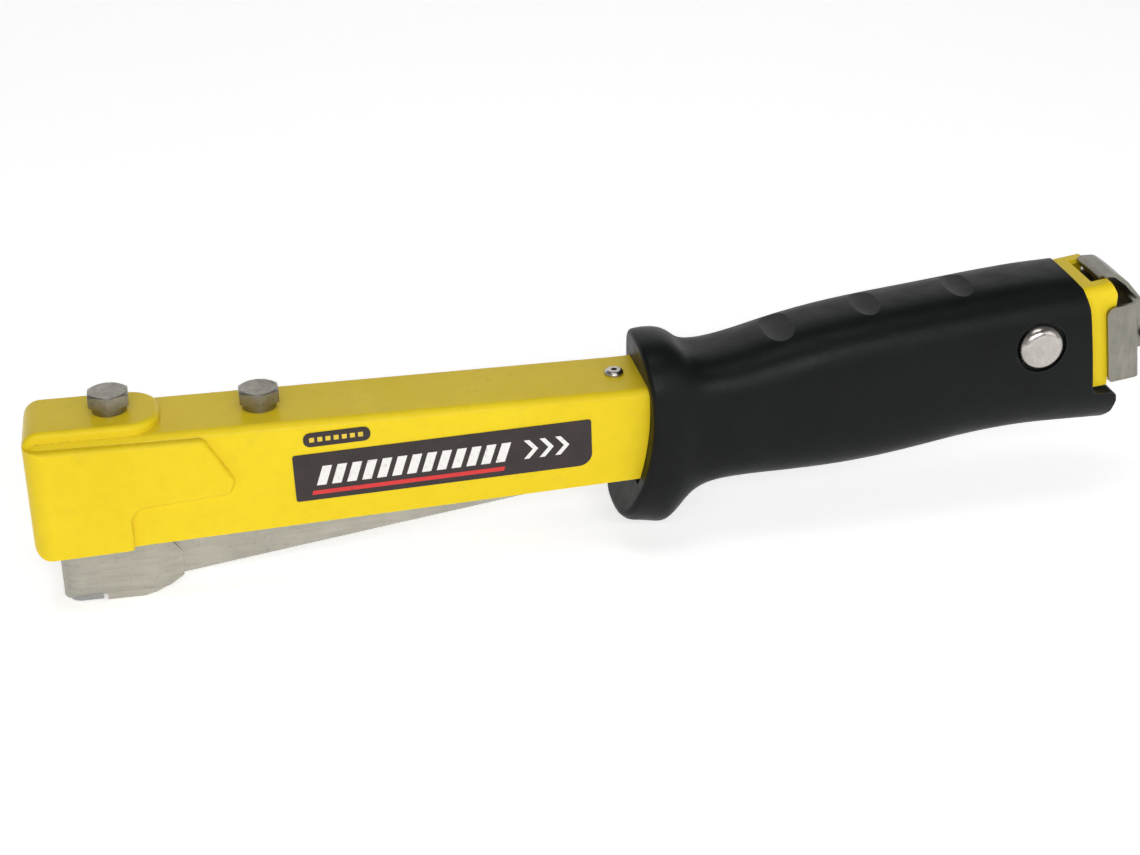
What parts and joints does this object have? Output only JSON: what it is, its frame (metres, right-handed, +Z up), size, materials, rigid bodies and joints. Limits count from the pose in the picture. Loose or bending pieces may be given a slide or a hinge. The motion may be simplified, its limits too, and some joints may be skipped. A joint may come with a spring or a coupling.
{
  "type": "hammer tacker",
  "caption": "Hammer tacker: a swinging staple magazine under a bent steel housing with a rubber grip, an end cap that draws out with rod and pusher, and a hook latch.",
  "frame": {"origin": "centre of the tool's length and width, on the striking plane of the nose", "axes": "+X along the tool towards the handle's end, +Z up from the nose, Y across the tool"},
  "size_m": [0.3416, 0.0392, 0.0762],
  "materials": {
    "yellow_paint": "gloss",
    "grip_rubber": "satin",
    "bolt_zinc": "zinc plated",
    "rivet_nickel": "satin nickel",
    "magazine_steel": "matt zinc",
    "cap_steel": "zinc plated",
    "dark_steel": "oiled",
    "hard_steel": "ground",
    "spring_steel": "oiled wire",
    "bumper_rubber": "matt",
    "label_film": "printed film"
  },
  "bodies": {
    "housing": {"housing_shell": "yellow_paint", "grip_sleeve": "grip_rubber", "striker_bolt": "bolt_zinc", "spring_bolt": "bolt_zinc", "bolt_washers": "bolt_zinc", "spring_cup": "dark_steel", "spring_nut": "bolt_zinc", "return_spring": "spring_steel", "striker_block": "dark_steel", "driver_blade": "hard_steel", "driver_rivets": "dark_steel", "bumper": "bumper_rubber", "grip_rivet": "rivet_nickel", "grip_rivet_washer": "dark_steel", "pivot_rivets": "rivet_nickel", "pivot_bushes": "dark_steel", "side_labels": "label_film", "badge_labels": "label_film"},
    "magazine": {"magazine_channel": "magazine_steel", "core_rail": "magazine_steel", "rail_rivets": "magazine_steel", "nose_shoe": "magazine_steel", "nose_plate": "hard_steel", "spring_seat": "dark_steel", "seat_rivets": "dark_steel"},
    "loader": {"end_cap": "cap_steel", "guide_rod": "hard_steel", "rod_collars": "dark_steel", "pusher_spring": "spring_steel", "latch_pin": "hard_steel", "latch_springs": "spring_steel"},
    "pusher": {"pusher": "dark_steel"},
    "latch": {"latch_lever": "cap_steel"}
  },
  "joints": [
    {"name": "magazine_swing", "type": "hinge", "parent": "housing", "child": "magazine", "pos_m": [0.1244, 0, 0.0585], "axis": [0, 1, 0], "range_deg": [0, 3.35], "stiffness_Nm_per_rad": 95, "springref_deg": -4.01, "deforming": ["return_spring"]},
    {"name": "loader_slide", "type": "slide", "parent": "magazine", "child": "loader", "axis": [0.99, 0, 0.1409], "range_m": [0, 0.26]},
    {"name": "pusher_slide", "type": "slide", "parent": "loader", "child": "pusher", "axis": [0.99, 0, 0.1409], "range_m": [0, 0.15], "stiffness_N_per_m": 60, "springref_m": -0.08, "deforming": ["pusher_spring"]},
    {"name": "latch_turn", "type": "hinge", "parent": "loader", "child": "latch", "pos_m": [0.16145, 0, 0.05721], "axis": [0, 1, 0], "range_deg": [0, 16], "stiffness_Nm_per_rad": 0.3, "springref_deg": -20.05}
  ]
}
